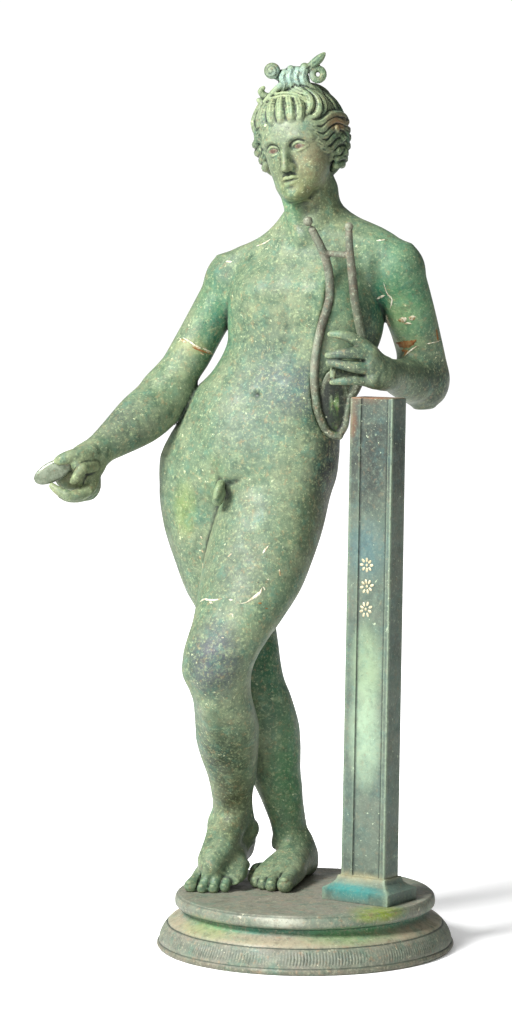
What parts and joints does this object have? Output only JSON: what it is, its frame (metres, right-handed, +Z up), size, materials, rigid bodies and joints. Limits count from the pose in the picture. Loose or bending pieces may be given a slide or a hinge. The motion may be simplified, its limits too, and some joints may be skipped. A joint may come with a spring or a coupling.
{
  "type": "bronze god figure",
  "caption": "Standing nude young god in patinated bronze, legs crossed, lyre held on a slender pillar, plectrum in the other hand, on a round moulded base.",
  "frame": {"origin": "centre of the base's flat underside", "axes": "+Z up along the figure's height, -Y towards the viewer that the figure faces, +X to that viewer's right"},
  "size_m": [0.4807, 0.341, 1.0195],
  "materials": {
    "base_bronze": "dull grey-brown patina, worn paler on the rim",
    "pillar_bronze": "dull blue-green patina",
    "figure_bronze": "dull green patina with speckled crust",
    "lyre_bronze": "brown patina with a worn sheen",
    "plectrum_metal": "pale greenish silver sheen"
  },
  "bodies": {
    "root": {"base": "base_bronze", "pillar": "pillar_bronze", "figure": "figure_bronze", "lyre": "lyre_bronze", "plectrum": "plectrum_metal"}
  },
  "joints": []
}
